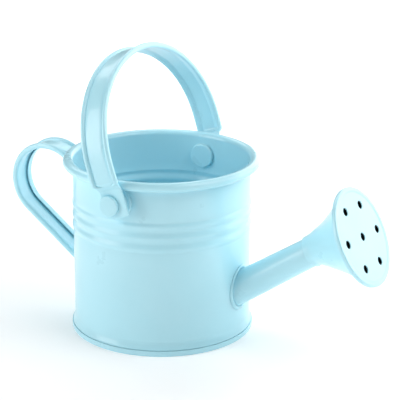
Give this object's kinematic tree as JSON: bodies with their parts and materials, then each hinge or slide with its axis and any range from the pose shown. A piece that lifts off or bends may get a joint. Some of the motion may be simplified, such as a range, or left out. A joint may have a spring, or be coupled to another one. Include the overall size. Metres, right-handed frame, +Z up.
{
  "type": "watering can",
  "caption": "Small round sheet-metal watering can with a swinging bail, a rear loop handle, an angled spout and a flared perforated rose.",
  "frame": {"origin": "centre of the base on the plane that the can stands on", "axes": "+Z up along the body's axis, +X towards the spout and rose, the bail's pivots on -Y (right) and +Y (left)"},
  "size_m": [0.2298, 0.124, 0.162],
  "materials": {
    "body_enamel": "gloss pale aqua enamel",
    "handle_enamel": "gloss pale aqua enamel",
    "fitting_enamel": "gloss pale aqua enamel",
    "spout_enamel": "gloss pale aqua enamel"
  },
  "bodies": {
    "can": {"body_wall": "body_enamel", "base_panel": "body_enamel", "rear_handle": "handle_enamel", "bail_rivet_right": "fitting_enamel", "bail_rivet_left": "fitting_enamel", "pivot_spacer_right": "fitting_enamel", "pivot_spacer_left": "fitting_enamel", "backing_washer_right": "fitting_enamel", "backing_washer_left": "fitting_enamel", "spout_tube": "spout_enamel", "rose_cone": "spout_enamel", "rose_plate": "spout_enamel"},
    "bail": {"bail_handle": "handle_enamel"}
  },
  "joints": [
    {"name": "bail_hinge", "type": "hinge", "parent": "can", "child": "bail", "pos_m": [0, 0, 0.0872], "axis": [0, 1, 0], "range_deg": [-58, 123]}
  ]
}
